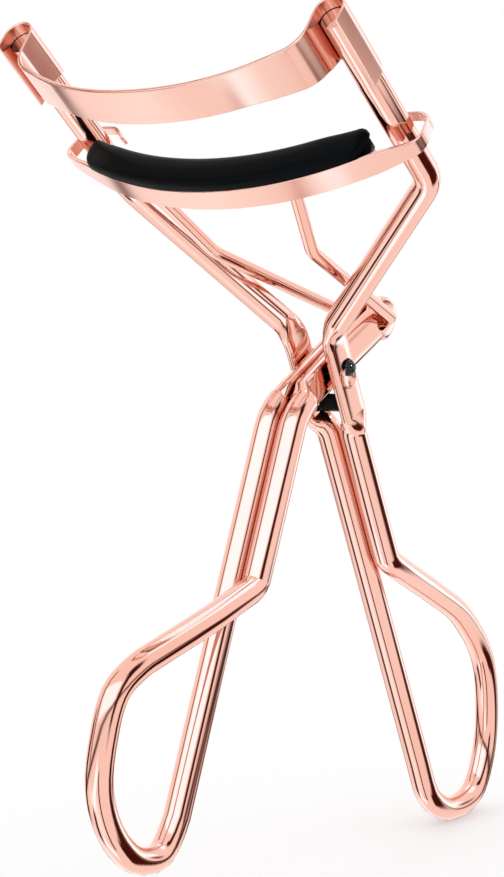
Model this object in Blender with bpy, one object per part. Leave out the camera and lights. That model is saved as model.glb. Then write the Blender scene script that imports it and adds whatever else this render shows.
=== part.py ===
"""Eyelash curler: a wire frame with two fixed posts, a sliding lower jaw with a pad, and a lever wire.

Millimetres are used throughout and turned into metres when a mesh is made. Every shape is written
about the pivot axis, which runs along X through the curler_root empty. +Y is towards the back,
-Y towards the wearer's fingers on the lever, +Z towards the jaws.
"""

import math

import bmesh
import bpy
import numpy as np

MM = 0.001
WIRE_SIDES = 20
LINK_SIDES = 12
ROUND_SIDES = 32
PATH_STEP = 0.2
KEEP_TOLERANCE = 0.03

# Where the pivot axis stands above and behind the middle of the footprint.
PIVOT_Y = 0.35
PIVOT_Z = 62.14

# Main wire and the two handles.
WIRE_RADIUS = 1.575
LEG_X = 1.76
HANDLE_ANGLE = math.radians(23.6)
LEVER_LEG_OFFSET = 6.0

# Frame wire: posts, knees and the flattened ears that carry the pivot.
POST_X = 20.96
POST_LENGTH = 24.5
POST_SLEEVE_START = 15.6
POST_SLEEVE_CUT = 0.075
POST_LEAN = math.radians(48.66)
KNEE_Y = -9.95
KNEE_Z = 21.46
KNEE_RADIUS = 4.0
EAR_X = 2.70
EAR_TOP = -5.0
EAR_BOTTOM = 6.5
EAR_HALF_THICKNESS = 0.675
EAR_HALF_WIDTH = 2.2
EAR_SHIFT = -0.35
EAR_CORNER_RADIUS = 5.0
LEG_START = 8.3
BORE_RADIUS = 1.15

# Finger loops as (distance down the handle, distance outward), and the share of the outer run
# over which the wire crosses from one leg's plane to the other's.
FRAME_FORK = 26.0
FRAME_LOOP = (
    (29, 2), (36, 8), (44, 14.5), (53, 18.3), (60, 17.7), (66, 14.7), (69.3, 9.8), (67.5, 3.6),
    (63, 0.3),
)
FRAME_LOOP_END = 57.0
LEVER_FORK = 28.0
LEVER_LOOP = (
    (31.5, 9.4), (38.2, 17.0), (42, 21.2), (45.2, 23.0), (50.4, 22.4), (55.5, 20.5), (59.4, 16.7),
    (61.2, 11.8), (60, 7.6),
)
LEVER_LOOP_END = 55.5
CROSSING_SHARE = 0.7

# Lever wire: the flattened arm between the ears and the bend into the handle.
ARM_EYE = (10.8, 5.3)
ARM_BEND = (-8.5, -4.65)
ARM_BEND_RADIUS = 6.5
ARM_X = 0.975
ARM_HALF_THICKNESS = 0.775
ARM_HALF_WIDTH = 2.1
ARM_EYE_RADIUS = 2.7
ARM_FLAT_END = 6.1
ARM_ROUND_START = 7.7

# Link wire: one thin wire from the lower jaw, through both eyes of the arm and back up, and the
# slots that let it slide along the arm.
LINK_RADIUS = 0.775
LINK_SLOT_HALF_WIDTH = 1.05
LINK_SLOT_INWARD = 0.95
LINK_CORNER_X = 2.8
LINK_CORNER_RADIUS = 1.1
LINK_BEND = (6.8, -12.2, 13.85)
LINK_BEND_RADIUS = 4.0
LINK_TOP = (9.38, -18.89, 20.13)

# Pivot pin, and the stop between the ears.
PIN_RADIUS = 0.9
PIN_HEAD_RADIUS = 1.45
PIN_HEAD_X = 3.5
PIN_HEAD_HEIGHT = 0.6
STOP_CENTRE = (2.2, -4.4)
STOP_HALF_SIZE = (1.7, 0.85, 1.0)
STOP_TILT = math.radians(-17.5)

# Jaws, in the plane of the posts: X across, h up the posts from the knee, q in front of them.
JAW_THICKNESS = 0.5
UPPER_FRONT = 9.74
UPPER_BOW = 0.01206
UPPER_BOW4 = 1.09e-5
UPPER_BAND_X = 16.3
UPPER_CORNER_RADIUS = 3.4
UPPER_CORNER_Q = 4.3
UPPER_LOW = 20.45
UPPER_HIGH = 25.44
SLEEVE_RADIUS = 1.75
SLEEVE_THICKNESS = 0.3
SLEEVE_TAB_Q = 1.9
SLEEVE_BACK_LOW = 18.3
SLEEVE_TAB_LOW = 16.45
SLEEVE_HIGH = 26.0
CORNER_HIGH = 25.7
LOWER_FRONT = 9.26
LOWER_BOW = 0.01156
LOWER_BOW4 = 2.7e-6
LOWER_BAND_X = 18.5
LOWER_LOW = 6.15
LOWER_HIGH = 9.15
LOWER_CURL = ((24.35, 2.05), (23.65, -2.7), (19.6, -2.75), (17.9, -1.0))
LOWER_CURL_RADII = (1.7, 2.3, 1.6)
CURL_THICKNESS = 0.4

# Channel behind the lower band, and the pad in it, as (q behind the band's front face, h).
CHANNEL_X = 17.6
CHANNEL = ((-0.4, 6.25), (-0.4, 6.95), (-3.4, 6.95), (-3.4, 8.9), (-4.1, 8.9), (-4.1, 6.25))
PAD_X = 18.8
PAD_LEVEL_X = 13.5
PAD_TONGUE = (-3.1, -1.1, 7.25)
PAD_BODY = (-3.6, 0.2, 9.45)
PAD_TOP = 11.4
PAD_END_TOP = 10.8

COLOURS = {
    "copper_plate": ((0.80, 0.42, 0.31, 1.0), 0.18, 1.0),
    "copper_rod": ((0.78, 0.40, 0.30, 1.0), 0.2, 1.0),
    "copper_strip": ((0.83, 0.45, 0.34, 1.0), 0.16, 1.0),
    "dark_rivet": ((0.06, 0.05, 0.05, 1.0), 0.3, 1.0),
    "black_rubber": ((0.01, 0.01, 0.01, 1.0), 0.55, 0.0),
}

X_AXIS = np.array([1.0, 0.0, 0.0])
MIRROR_X = np.array([-1.0, 1.0, 1.0])
POST_UP = np.array([0.0, -math.sin(POST_LEAN), math.cos(POST_LEAN)])
POST_FORWARD = np.array([0.0, -math.cos(POST_LEAN), -math.sin(POST_LEAN)])


def clear_scene():
    for obj in list(bpy.data.objects):
        bpy.data.objects.remove(obj, do_unlink=True)


def smoothstep(value):
    value = np.clip(value, 0.0, 1.0)
    return value * value * (3.0 - 2.0 * value)


def blend(low, high, share):
    return low + (high - low) * share


def handle_point(x, along, outward, side):
    """A point of a handle. side is +1 for the frame's, which leans back, and -1 for the lever's."""
    sine = math.sin(HANDLE_ANGLE)
    cosine = math.cos(HANDLE_ANGLE)
    return np.array([x, side * (sine * along + cosine * outward), -cosine * along + sine * outward])


def jaw_point(x, h, q):
    """A point given by its place across, up the posts from the knees, and in front of the posts."""
    return np.array([x, KNEE_Y, KNEE_Z]) + POST_UP * h + POST_FORWARD * q


def unit(vector):
    return vector / np.linalg.norm(vector)


def fillet_path(corners, radii):
    """The polyline through the corners, with an arc at each one between the two ends."""
    corners = [np.asarray(corner, float) for corner in corners]
    points = [corners[0]]
    for before, corner, after, radius in zip(corners, corners[1:-1], corners[2:], radii):
        back = unit(before - corner)
        ahead = unit(after - corner)
        half = 0.5 * math.acos(float(np.clip(back @ ahead, -1.0, 1.0)))
        if half > math.radians(89.5):
            points.append(corner)
            continue
        reach = radius / math.tan(half)
        centre = corner + unit(back + ahead) * radius / math.sin(half)
        start = corner + back * reach - centre
        end = corner + ahead * reach - centre
        turn = math.pi - 2.0 * half
        for share in np.linspace(0.0, 1.0, max(3, int(math.degrees(turn) / 3.0))):
            weights = math.sin((1.0 - share) * turn), math.sin(share * turn)
            points.append(centre + (weights[0] * start + weights[1] * end) / math.sin(turn))
    points.append(corners[-1])
    return points


def smooth_path(points, per_span=24):
    """A centripetal Catmull-Rom curve through the points, without the spans at its two ends."""
    points = [np.asarray(point, float) for point in points]
    curve = []
    for p0, p1, p2, p3 in zip(points, points[1:], points[2:], points[3:]):
        t1 = np.linalg.norm(p1 - p0) ** 0.5
        t2 = t1 + np.linalg.norm(p2 - p1) ** 0.5
        t3 = t2 + np.linalg.norm(p3 - p2) ** 0.5
        for t in np.linspace(t1, t2, per_span, endpoint=False):
            a1 = p0 + (p1 - p0) * t / t1
            a2 = p1 + (p2 - p1) * (t - t1) / (t2 - t1)
            a3 = p2 + (p3 - p2) * (t - t2) / (t3 - t2)
            b1 = a1 + (a2 - a1) * t / t2
            b2 = a2 + (a3 - a2) * (t - t1) / (t3 - t1)
            curve.append(b1 + (b2 - b1) * (t - t1) / (t2 - t1))
    curve.append(points[-2])
    return curve


def resample(points, step=PATH_STEP):
    points = np.array(points)
    lengths = np.linalg.norm(np.diff(points, axis=0), axis=1)
    points = points[np.concatenate([[True], lengths > 1e-6])]
    distance = np.concatenate([[0.0], np.cumsum(np.linalg.norm(np.diff(points, axis=0), axis=1))])
    even = np.linspace(0.0, distance[-1], int(distance[-1] / step) + 2)
    return np.stack([np.interp(even, distance, points[:, axis]) for axis in range(3)], axis=1)


def needed_stations(rows, tolerance=KEEP_TOLERANCE):
    """The rows of a dense table that a straight line between their kept neighbours would miss."""
    keep = {0, len(rows) - 1}
    spans = [(0, len(rows) - 1)]
    while spans:
        first, last = spans.pop()
        if last - first < 2:
            continue
        chord = rows[last] - rows[first]
        length = chord @ chord
        offsets = rows[first + 1 : last] - rows[first]
        share = np.clip(offsets @ chord / length, 0.0, 1.0) if length > 1e-12 else np.zeros(len(offsets))
        miss = np.linalg.norm(offsets - share[:, None] * chord, axis=1)
        worst = int(np.argmax(miss))
        if miss[worst] > tolerance:
            middle = first + 1 + worst
            keep.add(middle)
            spans += [(first, middle), (middle, last)]
    return sorted(keep)


def mesh_from_rings(name, rings):
    """A closed solid through rings of equal size, capped at both ends."""
    rings = np.asarray(rings)
    count, sides = rings.shape[:2]
    vertices = [tuple(point) for point in rings.reshape(-1, 3) * MM]
    faces = [tuple(range(sides)), tuple(range((count - 1) * sides, count * sides))]
    for ring in range(count - 1):
        for side in range(sides):
            after = (side + 1) % sides
            low = ring * sides
            faces.append((low + side, low + after, low + sides + after, low + sides + side))
    mesh = bpy.data.meshes.new(name)
    mesh.from_pydata(vertices, [], faces)
    work = bmesh.new()
    work.from_mesh(mesh)
    bmesh.ops.recalc_face_normals(work, faces=work.faces)
    work.to_mesh(mesh)
    work.free()
    return mesh


def wire_rings(path, half_x, half_y, power, sides):
    """Sections of a wire that is half_x by half_y, from round (power 2) to nearly square-edged."""
    tangents = np.gradient(path, axis=0)
    tangents /= np.linalg.norm(tangents, axis=1)[:, None]
    across = X_AXIS - tangents * (tangents @ X_AXIS)[:, None]
    across /= np.linalg.norm(across, axis=1)[:, None]
    beside = np.cross(tangents, across)
    angles = 2.0 * math.pi * (np.arange(sides) + 0.5) / sides
    cosines = np.cos(angles)
    sines = np.sin(angles)
    rings = []
    for row in needed_stations(np.column_stack([path, half_x, half_y])):
        bulge = 2.0 / power[row]
        wide = half_x[row] * np.sign(cosines) * np.abs(cosines) ** bulge
        deep = half_y[row] * np.sign(sines) * np.abs(sines) ** bulge
        rings.append(path[row] + wide[:, None] * across[row] + deep[:, None] * beside[row])
    return rings


def round_rings(path, radius, sides):
    """Sections of a round wire whose path may run along X: each section carries on from the last."""
    tangents = np.gradient(path, axis=0)
    tangents /= np.linalg.norm(tangents, axis=1)[:, None]
    across = np.cross(tangents[0], X_AXIS)
    angles = 2.0 * math.pi * (np.arange(sides) + 0.5) / sides
    rings = []
    for row in needed_stations(path, 0.6 * KEEP_TOLERANCE):
        across = unit(across - tangents[row] * (tangents[row] @ across))
        beside = np.cross(tangents[row], across)
        circle_points = np.cos(angles)[:, None] * across + np.sin(angles)[:, None] * beside
        rings.append(path[row] + radius * circle_points)
    return rings


def strip_rings(path, low, high, thickness):
    """Sections of a strip that stands on edge: path rows are (x, q), low and high its h at each."""
    tangents = np.gradient(path, axis=0)
    tangents /= np.linalg.norm(tangents, axis=1)[:, None]
    normals = np.stack([tangents[:, 1], -tangents[:, 0]], axis=1)
    rings = []
    for row in needed_stations(np.column_stack([path, low, high])):
        ring = []
        half = 0.5 * thickness[row]
        chamfer = 0.45 * half
        bottom = low[row]
        top = high[row]
        corners = (
            (-half, bottom + chamfer), (-half + chamfer, bottom), (half - chamfer, bottom),
            (half, bottom + chamfer), (half, top - chamfer), (half - chamfer, top),
            (-half + chamfer, top), (-half, top - chamfer),
        )
        for aside, height in corners:
            x, q = path[row] + normals[row] * aside
            ring.append(jaw_point(x, height, q))
        rings.append(ring)
    return rings


def material(name):
    made = bpy.data.materials.get(name)
    if made:
        return made
    colour, roughness, metallic = COLOURS[name]
    made = bpy.data.materials.new(name)
    made.use_nodes = True
    shader = made.node_tree.nodes["Principled BSDF"]
    shader.inputs["Base Color"].default_value = colour
    shader.inputs["Roughness"].default_value = roughness
    shader.inputs["Metallic"].default_value = metallic
    made.diffuse_color = colour
    return made


def add_part(name, mesh, colour, body, smooth_angle=40.0):
    finish = material(colour).copy()
    finish.name = name
    mesh.materials.append(finish)
    mesh.shade_smooth()
    mesh.set_sharp_from_angle(angle=math.radians(smooth_angle))
    obj = bpy.data.objects.new(name, mesh)
    parts.objects.link(obj)
    obj.parent = body
    return obj


def add_empty(name, parent=None):
    empty = bpy.data.objects.new(name, None)
    empty.empty_display_size = 4 * MM
    parts.objects.link(empty)
    empty.parent = parent
    return empty


def cut(obj, cutter, operation="DIFFERENCE"):
    boolean = obj.modifiers.new(cutter.name, "BOOLEAN")
    boolean.object = cutter
    boolean.operation = operation
    boolean.solver = "EXACT"


def add_cutter(name, mesh, body):
    obj = bpy.data.objects.new(name, mesh)
    cutters.objects.link(obj)
    obj.parent = body
    obj.hide_render = True
    obj.display_type = "WIRE"
    return obj


def prism_along_x(name, outline, half_length):
    """A solid whose outline is a list of (y, z), from -half_length to half_length along X."""
    rings = [[(x, y, z) for y, z in outline] for x in (-half_length, half_length)]
    return mesh_from_rings(name, rings)


def circle(centre, radius, sides=ROUND_SIDES):
    angles = 2.0 * math.pi * (np.arange(sides) + 0.5) / sides
    return [(centre[0] + radius * math.cos(a), centre[1] + radius * math.sin(a)) for a in angles]


def turned_along_x(name, profile, centre, sides=ROUND_SIDES):
    """A turned solid about an axis along X. The profile is a list of (x, radius)."""
    rings = []
    for x, radius in profile:
        rings.append([(x, y, z) for y, z in circle(centre, radius, sides)])
    return mesh_from_rings(name, rings)


def rivet_profile(shaft, head, head_x, height):
    """A rivet with a domed head at both ends, for turned_along_x."""
    half = [(head_x, shaft), (head_x, head - 0.1), (head_x + 0.1, head)]
    half += [(head_x + 0.4 * height, 0.93 * head)]
    half += [(head_x + 0.75 * height, 0.7 * head), (head_x + 0.95 * height, 0.35 * head)]
    half.append((head_x + height, 0.12 * head))
    return [(-x, radius) for x, radius in reversed(half)] + half


def loop_points(points, fork, end, side, leg_offset):
    """The wire from one leg at the fork, round the finger loop and up to the other leg."""
    outline = [(fork - 6.0, leg_offset), (fork, leg_offset)]
    outline += list(points)
    outline += [(end, leg_offset), (end - 6.0, leg_offset)]
    flat = smooth_path([(along, outward, 0.0) for along, outward in outline])
    distance = np.concatenate([[0.0], np.cumsum(np.linalg.norm(np.diff(flat, axis=0), axis=1))])
    crossed = smoothstep(distance / (CROSSING_SHARE * distance[-1]))
    path = []
    for (along, outward, _), share in zip(flat, crossed):
        path.append(handle_point(blend(LEG_X, -LEG_X, share), along, outward, side))
    return path


def build_frame_wire():
    top = jaw_point(POST_X, POST_LENGTH, 0.0)
    knee = jaw_point(POST_X, 0.0, 0.0)
    ear_top = handle_point(EAR_X, EAR_TOP, EAR_SHIFT, 1)
    ear_bottom = handle_point(EAR_X, EAR_BOTTOM, EAR_SHIFT, 1)
    leg_start = handle_point(LEG_X, LEG_START, 0.0, 1)
    fork = handle_point(LEG_X, FRAME_FORK, 0.0, 1)
    radii = (KNEE_RADIUS, EAR_CORNER_RADIUS, 2.0, 2.5)
    down = fillet_path([top, knee, ear_top, ear_bottom, leg_start, fork], radii)
    loop = loop_points(FRAME_LOOP, FRAME_FORK, FRAME_LOOP_END, 1, 0.0)
    path = resample(down + loop + [point * MIRROR_X for point in reversed(down)])
    along = path[:, 1] * math.sin(HANDLE_ANGLE) - path[:, 2] * math.cos(HANDLE_ANGLE)
    flat = smoothstep((along + 6.4) / 2.2) * smoothstep((7.7 - along) / 1.9)
    up_post = (path - knee * (0, 1, 1)) @ POST_UP
    in_sleeve = POST_SLEEVE_CUT * smoothstep((up_post - POST_SLEEVE_START) / 0.8)
    half_x = blend(WIRE_RADIUS, EAR_HALF_THICKNESS, flat) - in_sleeve
    half_y = blend(WIRE_RADIUS, EAR_HALF_WIDTH, flat) - in_sleeve
    rings = wire_rings(path, half_x, half_y, blend(2.0, 3.4, flat), WIRE_SIDES)
    return mesh_from_rings("frame_wire", rings)


def build_lever_wire():
    eye = np.array([ARM_X, *ARM_EYE])
    bend = np.array([LEG_X, *ARM_BEND])
    away = unit(eye * (0, 1, 1))
    front = unit(bend * (0, 1, 1))
    reach = ARM_EYE_RADIUS - 0.02
    corners = [
        eye + away * reach,
        X_AXIS * ARM_X,
        X_AXIS * ARM_X + front * ARM_FLAT_END,
        X_AXIS * LEG_X + front * ARM_ROUND_START,
        bend,
        handle_point(LEG_X, LEVER_FORK, LEVER_LEG_OFFSET, -1),
    ]
    down = fillet_path(corners, (30.0, 1.0, 1.0, ARM_BEND_RADIUS))
    loop = loop_points(LEVER_LOOP, LEVER_FORK, LEVER_LOOP_END, -1, LEVER_LEG_OFFSET)
    path = resample(down + loop + [point * MIRROR_X for point in reversed(down)], 0.1)
    on_arm = path[:, 2] > -2.5 * np.abs(path[:, 1]) / 3.0 - 1.0
    forward = np.where(on_arm, path @ front, 99.0)
    flat = smoothstep((ARM_ROUND_START - forward) / (ARM_ROUND_START - ARM_FLAT_END))
    half_x = blend(WIRE_RADIUS, ARM_HALF_THICKNESS, flat)
    half_y = blend(WIRE_RADIUS, ARM_HALF_WIDTH, flat)
    from_eye = np.linalg.norm((path - eye)[:, 1:], axis=1)
    round_end = np.sqrt(np.clip(ARM_EYE_RADIUS**2 - from_eye**2, 0.0, None))
    past_eye = (path - eye) @ away > 0.0
    half_y = np.where(past_eye, round_end, np.maximum(half_y, round_end))
    rings = wire_rings(path, half_x, half_y, blend(2.0, 4.5, flat), WIRE_SIDES)
    return mesh_from_rings("lever_wire", rings)


def bow(x, front, square, fourth):
    return front - square * x**2 - fourth * x**4


def mirrored_strip(path, low, high, thickness):
    """Both halves of a strip from its +X half, which starts on the centre line."""
    def whole(values):
        return np.concatenate([values[:0:-1], values])

    left = path[:0:-1] * (-1.0, 1.0)
    return np.concatenate([left, path]), whole(low), whole(high), whole(thickness)


def build_upper_jaw():
    xs = np.linspace(0.0, UPPER_BAND_X, 60)
    mid = bow(xs, UPPER_FRONT, UPPER_BOW, UPPER_BOW4) - 0.5 * JAW_THICKNESS
    band = np.stack([xs, mid, np.zeros_like(xs)], axis=1)
    inner = POST_X - SLEEVE_RADIUS
    outer = POST_X + SLEEVE_RADIUS
    corners = [
        band[-1], (inner, UPPER_CORNER_Q, 0), (inner, -SLEEVE_RADIUS, 0), (outer, -SLEEVE_RADIUS, 0),
        (outer, SLEEVE_TAB_Q, 0),
    ]
    sleeve = fillet_path(corners, (UPPER_CORNER_RADIUS, SLEEVE_RADIUS - 0.02, SLEEVE_RADIUS - 0.02))
    path = resample(list(band) + sleeve[1:], 0.1)[:, :2]
    distance = np.concatenate([[0.0], np.cumsum(np.linalg.norm(np.diff(path, axis=0), axis=1))])
    dip = distance[np.argmax(path[:, 0] > 12.0)]
    turn = distance[np.argmax(path[:, 0] > 16.5)]
    corner = distance[np.argmax(path[:, 0] > inner - 0.2)]
    back = distance[np.argmin(path[:, 1])]
    tab = distance[-1] - SLEEVE_TAB_Q
    low_edge = (UPPER_LOW, 19.9, 19.85, SLEEVE_BACK_LOW, SLEEVE_TAB_LOW)
    low = np.interp(distance, (dip, turn, corner, back, tab), low_edge)
    high = np.interp(distance, (turn, corner, back), (UPPER_HIGH, CORNER_HIGH, SLEEVE_HIGH))
    thickness = np.interp(distance, (corner - 0.6, corner + 1.2), (JAW_THICKNESS, SLEEVE_THICKNESS))
    rings = strip_rings(*mirrored_strip(path, low, high, thickness))
    return mesh_from_rings("upper_jaw", rings)


def build_lower_jaw():
    xs = np.linspace(0.0, LOWER_BAND_X, 60)
    mid = bow(xs, LOWER_FRONT, LOWER_BOW, LOWER_BOW4) - 0.5 * JAW_THICKNESS
    band = np.stack([xs, mid, np.zeros_like(xs)], axis=1)
    corners = [band[-1]] + [(x, q, 0.0) for x, q in LOWER_CURL]
    path = resample(list(band) + fillet_path(corners, LOWER_CURL_RADII)[1:], 0.1)[:, :2]
    distance = np.concatenate([[0.0], np.cumsum(np.linalg.norm(np.diff(path, axis=0), axis=1))])
    length = distance[-1]
    turn = distance[np.argmax(path[:, 0] > 19.3)]
    front = distance[np.argmax(path[:, 0] > 21.5)]
    side = distance[np.argmax(path[:, 0])]
    stations = (turn, front, side, side + 4.5, length)
    low = np.interp(distance, stations, (LOWER_LOW, 6.4, 6.9, 6.5, 6.5))
    high = np.interp(distance, stations, (LOWER_HIGH, 8.8, 8.5, 7.8, 7.6))
    thickness = np.interp(distance, (turn, side), (JAW_THICKNESS, CURL_THICKNESS))
    rings = strip_rings(*mirrored_strip(path, low, high, thickness))
    return mesh_from_rings("lower_jaw", rings)


def bowed_rings(section_at, half_width, spans):
    """Rings across the jaw: section_at(x) gives the outline as (q behind the front face, h)."""
    rings = []
    for x in np.linspace(-half_width, half_width, spans + 1):
        front = bow(x, LOWER_FRONT, LOWER_BOW, LOWER_BOW4)
        rings.append([jaw_point(x, h, front + q) for q, h in section_at(x)])
    return rings


def build_channel():
    return mesh_from_rings("channel", bowed_rings(lambda x: CHANNEL, CHANNEL_X, 24))


def pad_section(x):
    """Outline of the pad: a tongue in the channel under a wider body with a rounded top."""
    tongue_back, tongue_front, tongue_low = PAD_TONGUE
    body_back, body_front, body_low = PAD_BODY
    past = smoothstep((abs(x) - PAD_LEVEL_X) / (PAD_X - PAD_LEVEL_X))
    top = blend(PAD_TOP, PAD_END_TOP, past)
    middle = 0.5 * (body_back + body_front)
    half = 0.5 * (body_front - body_back)
    crown = min(1.3, top - body_low - 0.25)
    outline = [(tongue_back, tongue_low), (tongue_front, tongue_low), (tongue_front, body_low)]
    outline.append((middle + half, body_low))
    for angle in np.linspace(0.0, math.pi, 11):
        bulge = np.sign(math.cos(angle)) * abs(math.cos(angle)) ** 0.7
        outline.append((middle + half * bulge, top - crown + crown * math.sin(angle) ** 0.8))
    outline.append((middle - half, body_low))
    outline.append((tongue_back, body_low))
    return outline


def build_link_wire():
    """The thin wire: its crossbar runs through the arm's eyes and its ends stand under the lower jaw."""
    corner = (LINK_CORNER_X, *ARM_EYE)
    half = [np.array(point, float) for point in (LINK_TOP, LINK_BEND, corner)]
    corners = half + [point * MIRROR_X for point in reversed(half)]
    radii = (LINK_BEND_RADIUS, LINK_CORNER_RADIUS, LINK_CORNER_RADIUS, LINK_BEND_RADIUS)
    path = resample(fillet_path(corners, radii), 0.1)
    return mesh_from_rings("link_wire", round_rings(path, LINK_RADIUS, LINK_SIDES))


def unit_at(angle):
    return np.array([math.cos(angle), math.sin(angle)])


def link_slot_outline():
    """A slot along the arm, from the pin's place at rest inwards, as (y, z)."""
    eye = np.array(ARM_EYE)
    away = unit(eye)
    heading = math.atan2(away[1], away[0])
    centres = (eye, eye - away * LINK_SLOT_INWARD)
    outline = []
    for centre, start in zip(centres, (heading - 0.5 * math.pi, heading + 0.5 * math.pi)):
        for share in np.linspace(0.0, 1.0, ROUND_SIDES // 2):
            outline.append(centre + LINK_SLOT_HALF_WIDTH * unit_at(start + share * math.pi))
    return outline


def stop_outline():
    """The stop's rounded block, as (y, z)."""
    _, half_y, half_z = STOP_HALF_SIZE
    outline = []
    for angle in np.linspace(0.0, 2.0 * math.pi, 20, endpoint=False):
        cosine = math.cos(angle)
        sine = math.sin(angle)
        y = half_y * math.copysign(abs(cosine) ** 0.4, cosine)
        z = half_z * math.copysign(abs(sine) ** 0.4, sine)
        turned_y = y * math.cos(STOP_TILT) - z * math.sin(STOP_TILT)
        turned_z = y * math.sin(STOP_TILT) + z * math.cos(STOP_TILT)
        outline.append((STOP_CENTRE[0] + turned_y, STOP_CENTRE[1] + turned_z))
    return outline


clear_scene()
parts = bpy.data.collections.new("eyelash_curler")
bpy.context.scene.collection.children.link(parts)
cutters = bpy.data.collections.new("cutters")
bpy.context.scene.collection.children.link(cutters)
cutters.hide_render = True

root = add_empty("curler_root")
root.location = (0.0, PIVOT_Y * MM, PIVOT_Z * MM)
frame_body = add_empty("frame_body", root)
lever_body = add_empty("lever_body", root)
jaw_body = add_empty("jaw_body", root)

pivot_bore = add_cutter("pivot_bore", prism_along_x("pivot_bore", circle((0, 0), BORE_RADIUS), 6.0), root)
link_slot = add_cutter("link_slot", prism_along_x("link_slot", link_slot_outline(), 3.0), root)
channel = add_cutter("channel", build_channel(), root)

frame_wire = add_part("frame_wire", build_frame_wire(), "copper_plate", frame_body)
cut(frame_wire, pivot_bore)
lever_wire = add_part("lever_wire", build_lever_wire(), "copper_plate", lever_body)
cut(lever_wire, pivot_bore)
cut(lever_wire, link_slot)

add_part("upper_jaw", build_upper_jaw(), "copper_strip", frame_body)
lower_jaw = add_part("lower_jaw", build_lower_jaw(), "copper_strip", jaw_body)
cut(lower_jaw, channel, "UNION")
pad = mesh_from_rings("lash_pad", bowed_rings(pad_section, PAD_X, 28))
add_part("lash_pad", pad, "black_rubber", jaw_body)

add_part("link_wire", build_link_wire(), "copper_rod", jaw_body)
rivet = rivet_profile(PIN_RADIUS, PIN_HEAD_RADIUS, PIN_HEAD_X, PIN_HEAD_HEIGHT)
add_part("pivot_pin", turned_along_x("pivot_pin", rivet, (0, 0)), "dark_rivet", frame_body)
stop_block = prism_along_x("stop_bumper", stop_outline(), STOP_HALF_SIZE[0])
add_part("stop_bumper", stop_block, "black_rubber", frame_body)
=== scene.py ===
"""Finish and studio for a scissor-type eyelash curler: polished wires, formed jaws, rubber pad."""

import math

import bmesh
import bpy
from mathutils import Matrix, Vector


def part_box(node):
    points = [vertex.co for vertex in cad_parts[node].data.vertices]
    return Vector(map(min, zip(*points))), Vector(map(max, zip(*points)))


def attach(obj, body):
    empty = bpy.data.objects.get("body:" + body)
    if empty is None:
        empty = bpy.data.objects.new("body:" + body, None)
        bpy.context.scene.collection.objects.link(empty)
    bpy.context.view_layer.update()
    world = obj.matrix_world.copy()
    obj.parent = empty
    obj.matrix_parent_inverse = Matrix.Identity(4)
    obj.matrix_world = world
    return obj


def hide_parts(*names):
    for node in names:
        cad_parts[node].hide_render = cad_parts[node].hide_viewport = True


bl_info = {
    "name": "Eyelash curler finish",
    "version": (1, 0, 0),
    "blender": (4, 5, 0),
    "location": "3D View > Sidebar > Curler",
    "description": "Gives a wire eyelash curler its polished metal, rubber pad and studio",
    "category": "Object",
}

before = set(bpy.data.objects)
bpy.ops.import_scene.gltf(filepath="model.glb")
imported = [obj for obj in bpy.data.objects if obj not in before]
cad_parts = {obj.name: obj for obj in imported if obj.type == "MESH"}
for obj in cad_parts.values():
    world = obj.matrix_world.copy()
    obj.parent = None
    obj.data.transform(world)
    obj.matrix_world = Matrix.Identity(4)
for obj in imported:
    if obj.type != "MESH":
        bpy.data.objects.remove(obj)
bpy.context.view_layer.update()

# How a CAD node's loose triangles are joined into one surface.
MERGE_DISTANCE = 2e-6
FLAT_JOIN_ANGLE = math.radians(40.0)
FLAT_JOIN_SHAPE = math.radians(60.0)

# Angles in degrees, up to which a piece is shaded smooth or past which its edges are rounded.
WIRE_SMOOTH = 42.0
STRIP_SMOOTH = 60.0
BLACK_SMOOTH = 50.0
STRIP_EDGE_ANGLE = 30.0
SMALL_EDGE_ANGLE = 35.0

# The two colour inputs and the colour output of a Mix node set to RGBA.
MIX_FIRST, MIX_SECOND, MIX_RESULT = 6, 7, 2

# Each plated finish: haze, scale of the haze, scale of the polishing grain, strength of the grain.
WIRE_FINISH = (0.05, 160.0, 3800.0, 0.05)
STRIP_FINISH = (0.06, 110.0, 3000.0, 0.06)
SEAT_FINISH = (0.06, 300.0, 4000.0, 0.05)
COLOUR_DRIFT_SCALE = 45.0
GRAIN_DEPTH = 0.00001

# Rubber of the pad; then the near-black block between the ears, whose colour is painted shade for the
# gap below the pivot.
RUBBER_SPECULAR = 0.04
RUBBER_CLOUD_SCALE = 260.0
RUBBER_CLOUD_TONE = 1.8
RUBBER_GRAIN_SCALE = 5200.0
RUBBER_GRAIN_STRENGTH = 0.25
RUBBER_GRAIN_DEPTH = 0.00002
PAD_ROUGHNESS = 0.38
# Painted shade: the block's near-black colour stands for the shaded gap between the ears.
GAP_SHADE_BLACK = (0.006, 0.006, 0.007)
GAP_BLOCK_ROUGHNESS = 0.3
GAP_BLOCK_EDGE = 0.00012

# Blackened steel of the rivet, where it is dark and where it is rubbed.
BLACK_STEEL = (0.003, 0.003, 0.003)
RUBBED_STEEL = (0.008, 0.006, 0.006)
BLACK_SPECULAR = 0.3
RUB_SCALE = 900.0
BLACK_GRAIN_SCALE = 6000.0
BLACK_GRAIN_STRENGTH = 0.1

# Where the pad's rounded ends are cut, as shares of the rounding, how nearly they close, and the
# middle and half width of the fuller stretch before them, counted in roundings.
END_SHARES = (0.0, 0.3, 0.55, 0.75, 0.9, 0.98)
END_CLOSE = 0.92
SWELL_MIDDLE = 2.0
SWELL_HALF_WIDTH = 2.5
STATIONS_PER_METRE = 1e6

# Rivet head: the share of its radius that is pressed flat, and how hard. Seat: width of its rim
# and of each step of its dish as shares of its radius, the steps' depths, and its edge.
HEAD_FLAT = 0.15
HEAD_PRESS = 0.75
SEAT_RIM = 0.14
DISH_STEP_WIDTH = 0.2
DISH_STEPS = (0.5, 0.3, 0.2)
SEAT_EDGE = 0.00004

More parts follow.
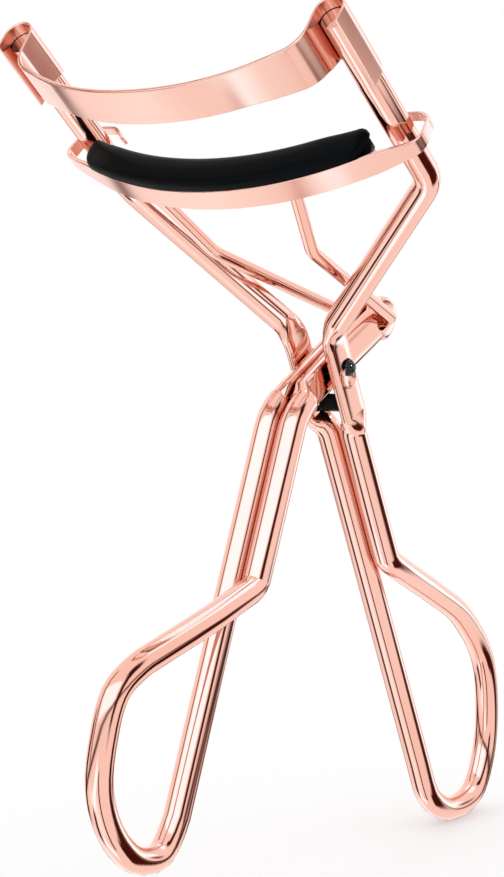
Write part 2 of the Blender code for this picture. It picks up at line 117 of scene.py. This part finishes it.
# Camera: place in metres, then its right, up and back directions.
CAMERA_PLACE = (0.149112, -0.219690, 0.079461)
CAMERA_RIGHT = (0.8098, 0.5865, -0.0159)
CAMERA_UP = (-0.0436, 0.0873, 0.9952)
CAMERA_BACK = (0.5851, -0.8053, 0.0963)
CAMERA_FIELD = 0.3857

# Soft boxes and flags that the metal reflects: the direction they stand in, the way their width
# runs, half width and half height as seen from the curler (1 is 45 degrees), softness, colour.
WHITE_BOX = (1.40, 2.10, 2.45)
PALE_BOX = (1.35, 1.62, 1.72)
DARK_FLAG = (0.07, 0.012, 0.006)
BROWN_FLAG = (0.36, 0.16, 0.11)
STUDIO_CARDS = (
    ("jaw_glow", (-0.60, 0.20, -0.78), (0.8, 0.1, -0.6), 0.22, 0.35, 0.2, PALE_BOX),
    ("low_front_glow", (-0.25, -0.68, -0.69), (0.9, 0.0, -0.2), 0.50, 0.30, 0.12, PALE_BOX),
    ("low_front_box", (0.02, -0.91, -0.41), (0.79, -0.235, 0.563), 0.42, 0.14, 0.04, WHITE_BOX),
    ("front_box", (0.10, -0.80, 0.55), (1.0, 0.2, 0.0), 0.98, 0.40, 0.04, WHITE_BOX),
    ("left_flag", (-0.776, -0.442, 0.448), (0.602, -0.731, 0.319), 0.09, 0.7, 0.04, BROWN_FLAG),
    ("right_flag", (0.924, -0.181, 0.334), (0.309, 0.871, -0.38), 0.17, 0.6, 0.05, DARK_FLAG),
    ("high_right_flag", (0.76, 0.01, 0.65), (-0.223, 0.943, 0.248), 0.12, 0.25, 0.05, DARK_FLAG),
    ("low_back_flag", (0.683, 0.501, -0.532), (0.098, 0.66, 0.745), 0.44, 0.2, 0.05, DARK_FLAG),
    ("low_front_flag", (0.433, -0.571, -0.697), (0.767, 0.587, 0.256), 0.07, 0.6, 0.03, DARK_FLAG),
    ("low_left_flag", (-0.97, -0.13, -0.20), (-0.22, 0.8, 0.56), 0.14, 0.4, 0.05, DARK_FLAG),
    ("floor_flag", (-0.489, -0.438, -0.752), (0.6, 0.0, -0.4), 0.12, 0.28, 0.05, DARK_FLAG),
    ("floor_box", (-0.14, -0.235, -0.96), (0.72, 0.64, -0.2), 0.24, 0.11, 0.04, WHITE_BOX),
    ("back_box", (0.36, 0.93, 0.04), (0.93, -0.36, 0.0), 0.13, 0.30, 0.04, WHITE_BOX),
    ("tab_flag", (0.55, 0.83, 0.14), (0.83, -0.55, 0.0), 0.12, 0.09, 0.06, BROWN_FLAG),
    ("top_box", (0.1, 0.45, 0.89), (1.0, 0.0, 0.0), 0.5, 0.22, 0.06, WHITE_BOX),
)
# A dark, slightly tilted ring a little below the horizon, which every polished wire shows as one
# of its lines: the ring's axis, then its place along the axis, half width, softness and colour.
HORIZON_AXIS = (-0.20, 0.20, 0.96)
HORIZON = (-0.14, 0.05, 0.035, (0.09, 0.02, 0.012))
# How bright the even room is in reflections, against its own light.
REFLECTED_ROOM = 1.22
FLOOR_ROUGHNESS = 0.9
FLOOR_GLOW = 0.29
NEAREST_SEEN = 0.01

# Small lamp on the rivet's head: its direction from the rivet, its width and its distance.
GLINT_DIRECTION = (0.90, 0.12, 0.42)
GLINT_SIZE = 0.022
GLINT_DISTANCE = 0.12


# ---------------------------------------------------------------- settings


class MetalSettings(bpy.types.PropertyGroup):
    """Polished rose-gold plating on the wires and the formed strips."""

    colour: bpy.props.FloatVectorProperty(
        name="Plating colour", description="Colour of the polished plating", subtype="COLOR",
        size=3, default=(0.80, 0.465, 0.385), min=0.0, max=1.0,
    )
    deep_colour: bpy.props.FloatVectorProperty(
        name="Deep colour", description="Colour where the plating is thicker", subtype="COLOR",
        size=3, default=(0.79, 0.43, 0.34), min=0.0, max=1.0,
    )
    wire_roughness: bpy.props.FloatProperty(
        name="Wire roughness", description="Roughness of the drawn and polished wire",
        default=0.07, min=0.0, max=1.0,
    )
    strip_roughness: bpy.props.FloatProperty(
        name="Strip roughness", description="Roughness of the formed strips",
        default=0.16, min=0.0, max=1.0,
    )
    edge_round: bpy.props.FloatProperty(
        name="Strip edge", description="Width of the rounding along the strips' edges",
        default=0.00005, min=0.0, max=0.0002, unit="LENGTH", subtype="DISTANCE", precision=5,
    )


class PadSettings(bpy.types.PropertyGroup):
    """Black rubber of the lash pad, and the shape of its ends."""

    colour: bpy.props.FloatVectorProperty(
        name="Rubber colour", description="Colour of the moulded rubber", subtype="COLOR",
        size=3, default=(0.0012, 0.0012, 0.0014), min=0.0, max=1.0,
    )
    end_round: bpy.props.FloatProperty(
        name="End rounding", description="Rounding at the two ends of the pad",
        default=0.0010, min=0.0005, max=0.002, unit="LENGTH", subtype="DISTANCE", precision=5,
    )
    end_bulge: bpy.props.FloatProperty(
        name="End bulge", description="How much fuller the pad is at its free ends",
        default=0.015, min=0.0, max=0.2, subtype="FACTOR",
    )
    end_reach: bpy.props.FloatProperty(
        name="End reach", description="How far each end runs past the plain pad",
        default=0.0001, min=0.0, max=0.001, unit="LENGTH", subtype="DISTANCE", precision=5,
    )


class RivetSettings(bpy.types.PropertyGroup):
    """Round-headed pivot rivet and the dished seats below it."""

    head_radius: bpy.props.FloatProperty(
        name="Head radius", description="Radius of the rivet's round head",
        default=0.00092, min=0.0005, max=0.0014, unit="LENGTH", subtype="DISTANCE", precision=5,
    )
    head_depth: bpy.props.FloatProperty(
        name="Head depth", description="How deep the head reaches from the rivet's end",
        default=0.00065, min=0.0002, max=0.001, unit="LENGTH", subtype="DISTANCE", precision=5,
    )
    head_sink: bpy.props.FloatProperty(
        name="Head sink", description="Share of the head's radius that is sunk in the rivet's end",
        default=0.75, min=0.0, max=1.0, subtype="FACTOR",
    )
    collar: bpy.props.FloatProperty(
        name="Collar", description="Width of the head's collar against the plain rivet's",
        default=0.70, min=0.5, max=1.0, subtype="FACTOR",
    )
    ear_face: bpy.props.FloatProperty(
        name="Ear face", description="Distance of the ears' outer faces from the middle",
        default=0.003365, min=0.003, max=0.004, unit="LENGTH", subtype="DISTANCE", precision=5,
    )
    seat_radius: bpy.props.FloatProperty(
        name="Seat radius", description="Radius of the dished seat",
        default=0.00140, min=0.0005, max=0.002, unit="LENGTH", subtype="DISTANCE", precision=5,
    )
    seat_drop: bpy.props.FloatProperty(
        name="Seat drop", description="How far the seat's middle is below the rivet",
        default=0.00110, min=0.0, max=0.002, unit="LENGTH", subtype="DISTANCE", precision=5,
    )
    seat_height: bpy.props.FloatProperty(
        name="Seat height", description="How far the seat stands out from the ear",
        default=0.00030, min=0.0, max=0.0005, unit="LENGTH", subtype="DISTANCE", precision=5,
    )
    seat_dish: bpy.props.FloatProperty(
        name="Seat dish", description="Depth of the dished face",
        default=0.00018, min=0.0, max=0.0005, unit="LENGTH", subtype="DISTANCE", precision=5,
    )


class StudioSettings(bpy.types.PropertyGroup):
    """Floor and light around the curler."""

    floor_colour: bpy.props.FloatVectorProperty(
        name="Floor colour", description="Colour of the plain floor", subtype="COLOR",
        size=3, default=(0.72, 0.72, 0.72), min=0.0, max=1.0,
    )
    floor_size: bpy.props.FloatProperty(
        name="Floor size", description="Side of the square floor", default=6.0, min=1.0,
        unit="LENGTH", subtype="DISTANCE",
    )
    room_light: bpy.props.FloatProperty(
        name="Room light", description="Strength of the even light from all round",
        default=1.0, min=0.0,
    )
    glint: bpy.props.FloatProperty(
        name="Rivet glint", description="Power of the small lamp on the rivet's head, in watts",
        default=0.25, min=0.0, subtype="POWER", unit="POWER", precision=3,
    )


# ---------------------------------------------------------------- mesh helpers


def active_only(obj):
    bpy.ops.object.select_all(action="DESELECT")
    obj.select_set(True)
    bpy.context.view_layer.objects.active = obj


def merged_copy(node, name):
    """A copy of a CAD node as one connected surface, ready to be finished."""
    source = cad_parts[node]
    obj = bpy.data.objects.new(name, source.data.copy())
    obj.data.name = name
    bpy.context.scene.collection.objects.link(obj)
    obj.data.materials.clear()
    active_only(obj)
    bpy.ops.mesh.customdata_custom_splitnormals_clear()
    bpy.ops.object.mode_set(mode="EDIT")
    bpy.ops.mesh.select_all(action="SELECT")
    bpy.ops.mesh.remove_doubles(threshold=MERGE_DISTANCE)
    bpy.ops.mesh.tris_convert_to_quads(
        face_threshold=FLAT_JOIN_ANGLE, shape_threshold=FLAT_JOIN_SHAPE
    )
    bpy.ops.object.mode_set(mode="OBJECT")
    return obj


def apply_modifier(obj, kind, **settings):
    active_only(obj)
    modifier = obj.modifiers.new(kind.title(), kind)
    for key, value in settings.items():
        setattr(modifier, key, value)
    bpy.ops.object.modifier_apply(modifier=modifier.name)


def round_edges(obj, width, segments, degrees):
    """Round the edges that turn by more than so many degrees."""
    apply_modifier(
        obj, "BEVEL", width=width, segments=segments, limit_method="ANGLE",
        angle_limit=math.radians(degrees),
    )


def smooth(obj, degrees):
    active_only(obj)
    bpy.ops.object.shade_smooth_by_angle(angle=math.radians(degrees))


def stand_for(obj, node, body, material):
    obj.data.materials.append(material)
    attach(obj, body)
    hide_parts(node)


# ---------------------------------------------------------------- material helpers


def new_group(name, inputs, outputs):
    group = bpy.data.node_groups.new(name, "ShaderNodeTree")
    for label, kind, default in inputs:
        socket = group.interface.new_socket(label, in_out="INPUT", socket_type=kind)
        if default is not None:
            socket.default_value = default
    for label, kind in outputs:
        group.interface.new_socket(label, in_out="OUTPUT", socket_type=kind)
    return group, group.nodes.new("NodeGroupInput"), group.nodes.new("NodeGroupOutput")


def feed(tree, value, socket):
    """Set a socket to a plain value, or link another node's output to it."""
    if isinstance(value, bpy.types.NodeSocket):
        tree.links.new(value, socket)
    else:
        socket.default_value = value


def math_node(tree, operation, first, second=None):
    node = tree.nodes.new("ShaderNodeMath")
    node.operation = operation
    feed(tree, first, node.inputs[0])
    if second is not None:
        feed(tree, second, node.inputs[1])
    return node.outputs[0]


def dot_product(tree, direction, axis):
    node = tree.nodes.new("ShaderNodeVectorMath")
    node.operation = "DOT_PRODUCT"
    feed(tree, direction, node.inputs[0])
    feed(tree, axis, node.inputs[1])
    return node.outputs["Value"]


def map_range(tree, value, low, high, to_low, to_high):
    node = tree.nodes.new("ShaderNodeMapRange")
    for index, item in enumerate((value, low, high, to_low, to_high)):
        feed(tree, item, node.inputs[index])
    return node.outputs[0]


def mix_colours(tree, share, first, second):
    """Go from the first colour to the second; each is a socket or plain red, green and blue."""
    node = tree.nodes.new("ShaderNodeMix")
    node.data_type = "RGBA"
    tree.links.new(share, node.inputs["Factor"])
    for index, colour in ((MIX_FIRST, first), (MIX_SECOND, second)):
        plain = not isinstance(colour, bpy.types.NodeSocket)
        feed(tree, (*colour, 1.0) if plain else colour, node.inputs[index])
    return node.outputs[MIX_RESULT]


def noise(tree, vector, scale, detail):
    node = tree.nodes.new("ShaderNodeTexNoise")
    node.inputs["Detail"].default_value = detail
    tree.links.new(vector, node.inputs["Vector"])
    feed(tree, scale, node.inputs["Scale"])
    return node.outputs[0]


def add_relief(tree, shader, height, strength, depth):
    """Let a pattern of heights disturb the shader's normal."""
    relief = tree.nodes.new("ShaderNodeBump")
    relief.inputs["Strength"].default_value = strength
    relief.inputs["Distance"].default_value = depth
    tree.links.new(height, relief.inputs["Height"])
    tree.links.new(relief.outputs["Normal"], shader.inputs["Normal"])


def new_material(name):
    material = bpy.data.materials.new(name)
    material.use_nodes = True
    tree = material.node_tree
    return material, tree, tree.nodes["Principled BSDF"]


def plating_wear_group():
    """Slow drift of the plating's colour, haze left by handling, and fine polishing grain."""
    group, given, result = new_group(
        "plating_wear",
        (
            ("Vector", "NodeSocketVector", None),
            ("Colour", "NodeSocketColor", (0.9, 0.5, 0.4, 1.0)),
            ("Deep Colour", "NodeSocketColor", (0.8, 0.4, 0.3, 1.0)),
            ("Roughness", "NodeSocketFloat", 0.1),
            ("Haze", "NodeSocketFloat", 0.05),
            ("Haze Scale", "NodeSocketFloat", 90.0),
            ("Grain Scale", "NodeSocketFloat", 4000.0),
        ),
        (
            ("Colour", "NodeSocketColor"), ("Roughness", "NodeSocketFloat"),
            ("Height", "NodeSocketFloat"),
        ),
    )
    links = group.links
    drift = noise(group, given.outputs["Vector"], COLOUR_DRIFT_SCALE, 2.0)
    drift = map_range(group, drift, 0.35, 0.65, 0.0, 1.0)
    tone = mix_colours(group, drift, given.outputs["Colour"], given.outputs["Deep Colour"])
    links.new(tone, result.inputs["Colour"])
    haze = noise(group, given.outputs["Vector"], given.outputs["Haze Scale"], 4.0)
    haze = map_range(group, haze, 0.45, 0.75, 0.0, 1.0)
    haze = math_node(group, "MULTIPLY", haze, given.outputs["Haze"])
    links.new(math_node(group, "ADD", haze, given.outputs["Roughness"]), result.inputs["Roughness"])
    grain = noise(group, given.outputs["Vector"], given.outputs["Grain Scale"], 2.0)
    links.new(grain, result.inputs["Height"])
    return group


def metal_material(name, look, roughness, finish):
    """Polished plating in the two colours of the metal settings, with one of the finishes."""
    haze, haze_scale, grain_scale, grain_strength = finish
    material, tree, shader = new_material(name)
    shader.inputs["Metallic"].default_value = 1.0
    place = tree.nodes.new("ShaderNodeTexCoord")
    effect = tree.nodes.new("ShaderNodeGroup")
    effect.node_tree = shared_wear()
    effect.inputs["Colour"].default_value = (*look.colour, 1.0)
    effect.inputs["Deep Colour"].default_value = (*look.deep_colour, 1.0)
    effect.inputs["Roughness"].default_value = roughness
    effect.inputs["Haze"].default_value = haze
    effect.inputs["Haze Scale"].default_value = haze_scale
    effect.inputs["Grain Scale"].default_value = grain_scale
    tree.links.new(place.outputs["Object"], effect.inputs["Vector"])
    tree.links.new(effect.outputs["Colour"], shader.inputs["Base Color"])
    tree.links.new(effect.outputs["Roughness"], shader.inputs["Roughness"])
    add_relief(tree, shader, effect.outputs["Height"], grain_strength, GRAIN_DEPTH)
    return material


def rubber_material(name, colour, roughness):
    """Satin black rubber with a cloudy surface and a fine moulded grain."""
    material, tree, shader = new_material(name)
    shader.inputs["Specular IOR Level"].default_value = RUBBER_SPECULAR
    place = tree.nodes.new("ShaderNodeTexCoord").outputs["Object"]
    cloud = noise(tree, place, RUBBER_CLOUD_SCALE, 4.0)
    paler = tuple(RUBBER_CLOUD_TONE * part for part in colour)
    tree.links.new(mix_colours(tree, cloud, colour, paler), shader.inputs["Base Color"])
    rough = map_range(tree, cloud, 0.3, 0.7, roughness - 0.06, roughness + 0.08)
    tree.links.new(rough, shader.inputs["Roughness"])
    grain = noise(tree, place, RUBBER_GRAIN_SCALE, 3.0)
    add_relief(tree, shader, grain, RUBBER_GRAIN_STRENGTH, RUBBER_GRAIN_DEPTH)
    return material


def black_gloss_material(name):
    """Blackened steel with a hard gloss, slightly rubbed."""
    material, tree, shader = new_material(name)
    shader.inputs["Specular IOR Level"].default_value = BLACK_SPECULAR
    place = tree.nodes.new("ShaderNodeTexCoord").outputs["Object"]
    rub = noise(tree, place, RUB_SCALE, 4.0)
    tone = mix_colours(tree, rub, BLACK_STEEL, RUBBED_STEEL)
    tree.links.new(tone, shader.inputs["Base Color"])
    tree.links.new(map_range(tree, rub, 0.3, 0.7, 0.04, 0.10), shader.inputs["Roughness"])
    grain = noise(tree, place, BLACK_GRAIN_SCALE, 2.0)
    add_relief(tree, shader, grain, BLACK_GRAIN_STRENGTH, GRAIN_DEPTH)
    return material


def shared_wear():
    return bpy.data.node_groups.get("plating_wear") or plating_wear_group()


# ---------------------------------------------------------------- operators


class CURLER_OT_wires(bpy.types.Operator):
    """Polish the frame wire, the lever wire and the link wire"""

    bl_idname = "curler.wires"
    bl_label = "Wires"

    def execute(self, context):
        look = context.scene.curler_metal
        plating = metal_material("polished_wire_plating", look, look.wire_roughness, WIRE_FINISH)
        wires = (
            ("frame_wire", "polished_frame_wire", "frame"),
            ("lever_wire", "polished_lever_wire", "lever"),
            ("link_wire", "polished_link_wire", "lower_jaw_carrier"),
        )
        for node, name, body in wires:
            wire = merged_copy(node, name)
            smooth(wire, WIRE_SMOOTH)
            stand_for(wire, node, body, plating)
        return {"FINISHED"}


class CURLER_OT_jaws(bpy.types.Operator):
    """Round the edges of the two formed jaw strips and polish them"""

    bl_idname = "curler.jaws"
    bl_label = "Jaw strips"

    def execute(self, context):
        look = context.scene.curler_metal
        plating = metal_material("polished_strip_plating", look, look.strip_roughness, STRIP_FINISH)
        strips = (
            ("upper_jaw", "rolled_upper_jaw", "frame"),
            ("lower_jaw", "curled_lower_jaw", "lower_jaw_carrier"),
        )
        for node, name, body in strips:
            strip = merged_copy(node, name)
            round_edges(strip, look.edge_round, 2, STRIP_EDGE_ANGLE)
            smooth(strip, STRIP_SMOOTH)
            apply_modifier(strip, "WEIGHTED_NORMAL", keep_sharp=True, weight=80)
            stand_for(strip, node, body, plating)
        return {"FINISHED"}


class CURLER_OT_pad(bpy.types.Operator):
    """Mould the black rubber pad with full rounded ends"""

    bl_idname = "curler.pad"
    bl_label = "Lash pad"

    def execute(self, context):
        look = context.scene.curler_pad
        rubber = rubber_material("moulded_black_rubber", look.colour, PAD_ROUGHNESS)
        pad = merged_copy("lash_pad", "moulded_lash_pad")
        round_ends(pad, look.end_round, look.end_bulge, look.end_reach)
        smooth(pad, BLACK_SMOOTH)
        stand_for(pad, "lash_pad", "lower_jaw_carrier", rubber)
        return {"FINISHED"}


def cut_across(pad, places):
    """Slice the pad across at each place along X, so that its ends can be shaped."""
    active_only(pad)
    for place in places:
        bpy.ops.object.mode_set(mode="EDIT")
        bpy.ops.mesh.select_all(action="SELECT")
        bpy.ops.mesh.bisect(plane_co=(place, 0.0, 0.0), plane_no=(1.0, 0.0, 0.0))
        bpy.ops.object.mode_set(mode="OBJECT")


def round_ends(pad, end_round, bulge, reach):
    """Round both ends of the pad and make them a little fuller just before the rounding."""
    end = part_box("lash_pad")[1][0]
    places = [end - end_round * (1.0 - share) for share in END_SHARES]
    cut_across(pad, [side * place for side in (-1.0, 1.0) for place in places])
    stations = {}
    for vertex in pad.data.vertices:
        stations.setdefault(round(vertex.co.x * STATIONS_PER_METRE), []).append(vertex)
    for group in stations.values():
        x = group[0].co.x
        middle = sum((v.co for v in group), Vector()) / len(group)
        past = max(0.0, abs(x) - (end - end_round)) / end_round
        from_swell = abs(abs(x) - (end - SWELL_MIDDLE * end_round))
        swell = max(0.0, 1.0 - from_swell / (SWELL_HALF_WIDTH * end_round))
        scale = math.sqrt(max(0.0, 1.0 - (END_CLOSE * past) ** 2)) * (1.0 + bulge * swell)
        for vertex in group:
            vertex.co = middle + (vertex.co - middle) * scale
            vertex.co.x += math.copysign(reach * min(1.0, past + swell), x)


def pressed_seat(name, centre, radius, height, dish):
    """A low round seat pressed up from an ear, with a dished face outward; centre is on its base."""
    side = math.copysign(1.0, centre.x)
    bpy.ops.object.select_all(action="DESELECT")
    middle = centre + Vector((0.5 * side * height, 0, 0))
    bpy.ops.mesh.primitive_cylinder_add(
        vertices=48, radius=radius, depth=height, location=middle, rotation=(0.0, 0.5 * math.pi, 0.0),
    )
    seat = bpy.context.object
    seat.name = name
    bpy.ops.object.transform_apply(location=True, rotation=True, scale=True)
    mesh = bmesh.new()
    mesh.from_mesh(seat.data)
    face = max(mesh.faces, key=lambda item: side * item.calc_center_median().x)
    bmesh.ops.inset_region(mesh, faces=[face], thickness=SEAT_RIM * radius)
    for share in DISH_STEPS:
        bmesh.ops.inset_region(
            mesh, faces=[face], thickness=DISH_STEP_WIDTH * radius, depth=-share * dish,
        )
    bmesh.ops.recalc_face_normals(mesh, faces=mesh.faces)
    mesh.to_mesh(seat.data)
    mesh.free()
    round_edges(seat, SEAT_EDGE, 2, SMALL_EDGE_ANGLE)
    smooth(seat, STRIP_SMOOTH)
    return seat


def ball_head(centre, radius):
    """The round head of the rivet, a little flat where it was set."""
    bpy.ops.object.select_all(action="DESELECT")
    bpy.ops.mesh.primitive_uv_sphere_add(
        segments=40, ring_count=20, radius=radius, location=centre, rotation=(0.0, 0.5 * math.pi, 0.0),
    )
    head = bpy.context.object
    bpy.ops.object.transform_apply(location=True, rotation=True, scale=True)
    reach = abs(centre.x) + (1.0 - HEAD_FLAT) * radius
    for vertex in head.data.vertices:
        over = abs(vertex.co.x) - reach
        if over > 0.0:
            vertex.co.x -= math.copysign(HEAD_PRESS * over, vertex.co.x)
    return head


class CURLER_OT_rivet(bpy.types.Operator):
    """Finish the round-headed pivot rivet and the dished seats pressed in the ears below it"""

    bl_idname = "curler.rivet"
    bl_label = "Pivot rivet"

    def execute(self, context):
        look = context.scene.curler_rivet
        low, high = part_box("pivot_pin")
        axis = 0.5 * (low + high)
        black = black_gloss_material("dark_rivet_steel")
        rivet = merged_copy("pivot_pin", "round_head_pivot_rivet")
        neck = high.x - look.head_depth
        for vertex in rivet.data.vertices:
            if abs(vertex.co.x) > neck:
                vertex.co.y = axis.y + (vertex.co.y - axis.y) * look.collar
                vertex.co.z = axis.z + (vertex.co.z - axis.z) * look.collar
        reach = high.x - look.head_sink * look.head_radius
        heads = [
            ball_head(Vector((side * reach, axis.y, axis.z)), look.head_radius)
            for side in (-1.0, 1.0)
        ]
        bpy.ops.object.select_all(action="DESELECT")
        for piece in (*heads, rivet):
            piece.select_set(True)
        bpy.context.view_layer.objects.active = rivet
        bpy.ops.object.join()
        smooth(rivet, BLACK_SMOOTH)
        stand_for(rivet, "pivot_pin", "frame", black)
        metal = context.scene.curler_metal
        plating = metal_material("pressed_seat_plating", metal, metal.strip_roughness, SEAT_FINISH)
        for side, name in ((-1.0, "left_rivet_seat"), (1.0, "right_rivet_seat")):
            centre = Vector((side * look.ear_face, axis.y, axis.z - look.seat_drop))
            seat = pressed_seat(name, centre, look.seat_radius, look.seat_height, look.seat_dish)
            seat.data.materials.append(plating)
            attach(seat, "frame")
        return {"FINISHED"}


class CURLER_OT_gap_shade_block(bpy.types.Operator):
    """Give the small block between the ears its near-black colour, painted shade for the gap there"""

    bl_idname = "curler.stop"
    bl_label = "Gap shade block"

    def execute(self, context):
        # Painted shade: the near-black block fills the shaded gap between the ears below the pivot.
        rubber = rubber_material("gap_shade_block_black", GAP_SHADE_BLACK, GAP_BLOCK_ROUGHNESS)
        block = merged_copy("stop_bumper", "gap_shade_block")
        round_edges(block, GAP_BLOCK_EDGE, 3, SMALL_EDGE_ANGLE)
        smooth(block, BLACK_SMOOTH)
        stand_for(block, "stop_bumper", "frame", rubber)
        return {"FINISHED"}


def card_mask_group():
    """Where a direction meets a card: 1 inside its rectangle, 0 outside, soft at its edges."""
    group, given, result = new_group(
        "studio_card",
        (
            ("Direction", "NodeSocketVector", None),
            ("Facing", "NodeSocketVector", (0.0, 0.0, 1.0)),
            ("Across", "NodeSocketVector", (1.0, 0.0, 0.0)),
            ("Up", "NodeSocketVector", (0.0, 1.0, 0.0)),
            ("Half Width", "NodeSocketFloat", 0.5),
            ("Half Height", "NodeSocketFloat", 0.5),
            ("Softness", "NodeSocketFloat", 0.05),
        ),
        (("Mask", "NodeSocketFloat"),),
    )

    def along(axis):
        return dot_product(group, given.outputs["Direction"], given.outputs[axis])

    ahead = math_node(group, "MAXIMUM", along("Facing"), 0.001)
    mask = math_node(group, "GREATER_THAN", along("Facing"), 0.0)
    for axis, half in (("Across", "Half Width"), ("Up", "Half Height")):
        off = math_node(group, "ABSOLUTE", math_node(group, "DIVIDE", along(axis), ahead))
        over = math_node(group, "SUBTRACT", off, given.outputs[half])
        share = math_node(group, "DIVIDE", over, given.outputs["Softness"])
        mask = math_node(group, "MULTIPLY", mask, map_range(group, share, -1.0, 1.0, 1.0, 0.0))
    group.links.new(mask, result.inputs["Mask"])
    return group


def reflected_horizon(tree, direction, room):
    """The even room as the metal sees it, crossed by the dark ring just below the horizon."""
    height, half, softness, tone = HORIZON
    along = dot_product(tree, direction, Vector(HORIZON_AXIS).normalized())
    off = math_node(tree, "ABSOLUTE", math_node(tree, "SUBTRACT", along, height))
    ring = map_range(tree, off, half - softness, half + softness, 1.0, 0.0)
    return mix_colours(tree, ring, (room, room, room), tone)


def build_studio_world(room_light):
    """Even light from all round, in which reflections also see the ring and the cards."""
    world = bpy.data.worlds.new("studio")
    bpy.context.scene.world = world
    world.use_nodes = True
    tree = world.node_tree
    tree.nodes.clear()
    cards = card_mask_group()
    direction = tree.nodes.new("ShaderNodeTexCoord").outputs["Generated"]
    colour = reflected_horizon(tree, direction, room_light * REFLECTED_ROOM)
    for name, facing, across, half_width, half_height, softness, tone in STUDIO_CARDS:
        ahead = Vector(facing).normalized()
        side = Vector(across)
        side = (side - ahead * side.dot(ahead)).normalized()
        card = tree.nodes.new("ShaderNodeGroup")
        card.node_tree = cards
        card.label = name
        tree.links.new(direction, card.inputs["Direction"])
        card.inputs["Facing"].default_value = ahead
        card.inputs["Across"].default_value = side
        card.inputs["Up"].default_value = ahead.cross(side)
        card.inputs["Half Width"].default_value = half_width
        card.inputs["Half Height"].default_value = half_height
        card.inputs["Softness"].default_value = softness
        colour = mix_colours(tree, card.outputs["Mask"], colour, tone)
    reflected = tree.nodes.new("ShaderNodeLightPath").outputs["Is Glossy Ray"]
    seen = mix_colours(tree, reflected, (room_light, room_light, room_light), colour)
    shade = tree.nodes.new("ShaderNodeBackground")
    out = tree.nodes.new("ShaderNodeOutputWorld")
    tree.links.new(seen, shade.inputs["Color"])
    tree.links.new(shade.outputs[0], out.inputs["Surface"])


def build_floor(size, colour):
    bpy.ops.object.select_all(action="DESELECT")
    bpy.ops.mesh.primitive_plane_add(size=size, location=(0.0, 0.0, 0.0))
    floor = bpy.context.object
    floor.name = "studio_floor"
    floor.visible_glossy = False
    material, _, shader = new_material("plain_floor")
    shader.inputs["Base Color"].default_value = (*colour, 1.0)
    shader.inputs["Roughness"].default_value = FLOOR_ROUGHNESS
    shader.inputs["Specular IOR Level"].default_value = 0.0
    shader.inputs["Emission Color"].default_value = (1.0, 1.0, 1.0, 1.0)
    shader.inputs["Emission Strength"].default_value = FLOOR_GLOW
    floor.data.materials.append(material)


def build_camera():
    data = bpy.data.cameras.new("studio_camera")
    camera = bpy.data.objects.new("studio_camera", data)
    bpy.context.scene.collection.objects.link(camera)
    axes = Matrix((CAMERA_RIGHT, CAMERA_UP, CAMERA_BACK)).transposed()
    camera.matrix_world = Matrix.Translation(CAMERA_PLACE) @ axes.to_4x4()
    data.sensor_fit = "VERTICAL"
    data.angle = CAMERA_FIELD
    data.clip_start = NEAREST_SEEN
    bpy.context.scene.camera = camera


def build_rivet_glint(rivet, place, strength):
    """A small soft lamp that only the rivet's round head catches."""
    data = bpy.data.lights.new("rivet_glint", "AREA")
    data.shape = "DISK"
    data.size = GLINT_SIZE
    data.energy = strength
    lamp = bpy.data.objects.new("rivet_glint", data)
    bpy.context.scene.collection.objects.link(lamp)
    toward = Vector(GLINT_DIRECTION).normalized()
    lamp.matrix_world = Matrix.Translation(place + GLINT_DISTANCE * toward) @ (
        toward.to_track_quat("Z", "Y").to_matrix().to_4x4()
    )
    catchers = bpy.data.collections.new("glint_catchers")
    catchers.objects.link(rivet)
    lamp.light_linking.receiver_collection = catchers


class CURLER_OT_studio(bpy.types.Operator):
    """Build the floor, the soft studio light and the camera"""

    bl_idname = "curler.studio"
    bl_label = "Studio"

    def execute(self, context):
        look = context.scene.curler_studio
        build_floor(look.floor_size, look.floor_colour)
        build_studio_world(look.room_light)
        build_camera()
        rivet = bpy.data.objects["round_head_pivot_rivet"]
        build_rivet_glint(rivet, Vector(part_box("pivot_pin")[1]), look.glint)
        context.scene.view_settings.view_transform = "Standard"
        return {"FINISHED"}


OPERATORS = (
    CURLER_OT_wires, CURLER_OT_jaws, CURLER_OT_pad, CURLER_OT_rivet, CURLER_OT_gap_shade_block,
    CURLER_OT_studio,
)


class CURLER_PT_finish(bpy.types.Panel):
    bl_idname = "CURLER_PT_finish"
    bl_label = "Eyelash curler"
    bl_space_type = "VIEW_3D"
    bl_region_type = "UI"
    bl_category = "Curler"

    def draw(self, context):
        layout = self.layout
        for settings in ("curler_metal", "curler_pad", "curler_rivet", "curler_studio"):
            group = getattr(context.scene, settings)
            for key in group.bl_rna.properties.keys():
                if key not in ("rna_type", "name"):
                    layout.prop(group, key)
        for operator in OPERATORS:
            layout.operator(operator.bl_idname)


CLASSES = (MetalSettings, PadSettings, RivetSettings, StudioSettings, *OPERATORS, CURLER_PT_finish)


def register():
    for item in CLASSES:
        bpy.utils.register_class(item)
    bpy.types.Scene.curler_metal = bpy.props.PointerProperty(type=MetalSettings)
    bpy.types.Scene.curler_pad = bpy.props.PointerProperty(type=PadSettings)
    bpy.types.Scene.curler_rivet = bpy.props.PointerProperty(type=RivetSettings)
    bpy.types.Scene.curler_studio = bpy.props.PointerProperty(type=StudioSettings)


def unregister():
    del bpy.types.Scene.curler_studio
    del bpy.types.Scene.curler_rivet
    del bpy.types.Scene.curler_pad
    del bpy.types.Scene.curler_metal
    for item in reversed(CLASSES):
        bpy.utils.unregister_class(item)


def main():
    register()
    bpy.ops.curler.wires()
    bpy.ops.curler.jaws()
    bpy.ops.curler.pad()
    bpy.ops.curler.rivet()
    bpy.ops.curler.stop()
    bpy.ops.curler.studio()


if __name__ == "__main__":
    main()
